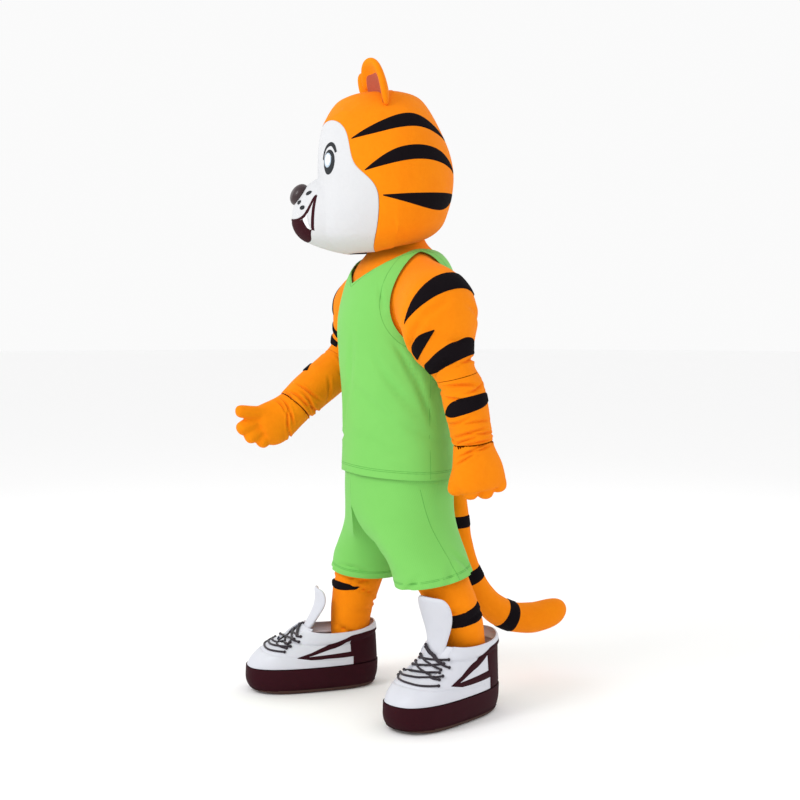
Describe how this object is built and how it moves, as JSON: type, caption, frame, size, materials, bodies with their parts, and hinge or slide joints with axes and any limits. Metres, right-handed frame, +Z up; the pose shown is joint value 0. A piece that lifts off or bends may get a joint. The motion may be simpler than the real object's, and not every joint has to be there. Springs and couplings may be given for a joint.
{
  "type": "tiger mascot costume",
  "caption": "Full-body plush tiger mascot costume in a hollow worn pose: striped suit, oversized head, gloves and tail, with a green tank jersey, shorts and padded sneakers.",
  "frame": {"origin": "midway between the wearer's shoulders, where the suit hangs, 1.36 m over the soles", "axes": "+Z up, -Y the way the chest faces, +X the mascot's own left side"},
  "size_m": [0.8047, 1.0553, 1.967],
  "materials": {
    "orange_plush": "short-pile plush, bright orange, matte with a soft sheen",
    "black_plush": "short-pile plush, near black",
    "white_plush": "short-pile plush, white",
    "ear_plush": "short-pile plush, brick brown",
    "green_knit": "smooth polyester knit, mid green, slightly satin",
    "white_vinyl": "padded white vinyl with a soft gloss",
    "dark_vinyl": "dark burgundy vinyl with a soft gloss",
    "lace_cord": "round woven cord, dark purple",
    "nose_gloss": "moulded, dark maroon, glossy",
    "mouth_felt": "felt, maroon",
    "fang_felt": "felt, off-white",
    "eye_print": "printed disc, black and white, slightly glossy"
  },
  "bodies": {
    "root": {"ear_left": "orange_plush", "ear_lining_left": "ear_plush", "ear_lining_right": "ear_plush", "ear_right": "orange_plush", "eye_left": "eye_print", "eye_right": "eye_print", "face": "white_plush", "fang_left": "fang_felt", "fang_right": "fang_felt", "forearm_left": "orange_plush", "forearm_right": "orange_plush", "glove_left": "orange_plush", "glove_right": "orange_plush", "head_back": "orange_plush", "head_cap": "orange_plush", "head_stripe_low_left": "black_plush", "head_stripe_low_right": "black_plush", "head_stripe_middle_left": "black_plush", "head_stripe_middle_right": "black_plush", "head_stripe_top_left": "black_plush", "head_stripe_top_right": "black_plush", "jersey_back": "green_knit", "jersey_front": "green_knit", "laces_left": "lace_cord", "laces_right": "lace_cord", "leg_left": "orange_plush", "leg_right": "orange_plush", "mouth": "mouth_felt", "muzzle": "white_plush", "nose": "nose_gloss", "overlay_left": "dark_vinyl", "overlay_right": "dark_vinyl", "shorts_left_back": "green_knit", "shorts_left_front": "green_knit", "shorts_right_back": "green_knit", "shorts_right_front": "green_knit", "sleeve_left": "orange_plush", "sleeve_right": "orange_plush", "sole_left": "dark_vinyl", "sole_right": "dark_vinyl", "stripe_crescent_left": "black_plush", "stripe_crescent_right": "black_plush", "stripe_dart_left": "black_plush", "stripe_dart_right": "black_plush", "stripe_elbow_left": "black_plush", "stripe_elbow_right": "black_plush", "stripe_forearm_left": "black_plush", "stripe_forearm_right": "black_plush", "stripe_leg_left": "black_plush", "stripe_leg_right": "black_plush", "suit_back": "orange_plush", "suit_front": "orange_plush", "tail": "orange_plush", "tail_band_lower": "black_plush", "tail_band_middle": "black_plush", "tail_band_upper": "black_plush", "tongue_left": "white_vinyl", "tongue_right": "white_vinyl", "upper_left": "white_vinyl", "upper_right": "white_vinyl"}
  },
  "joints": []
}
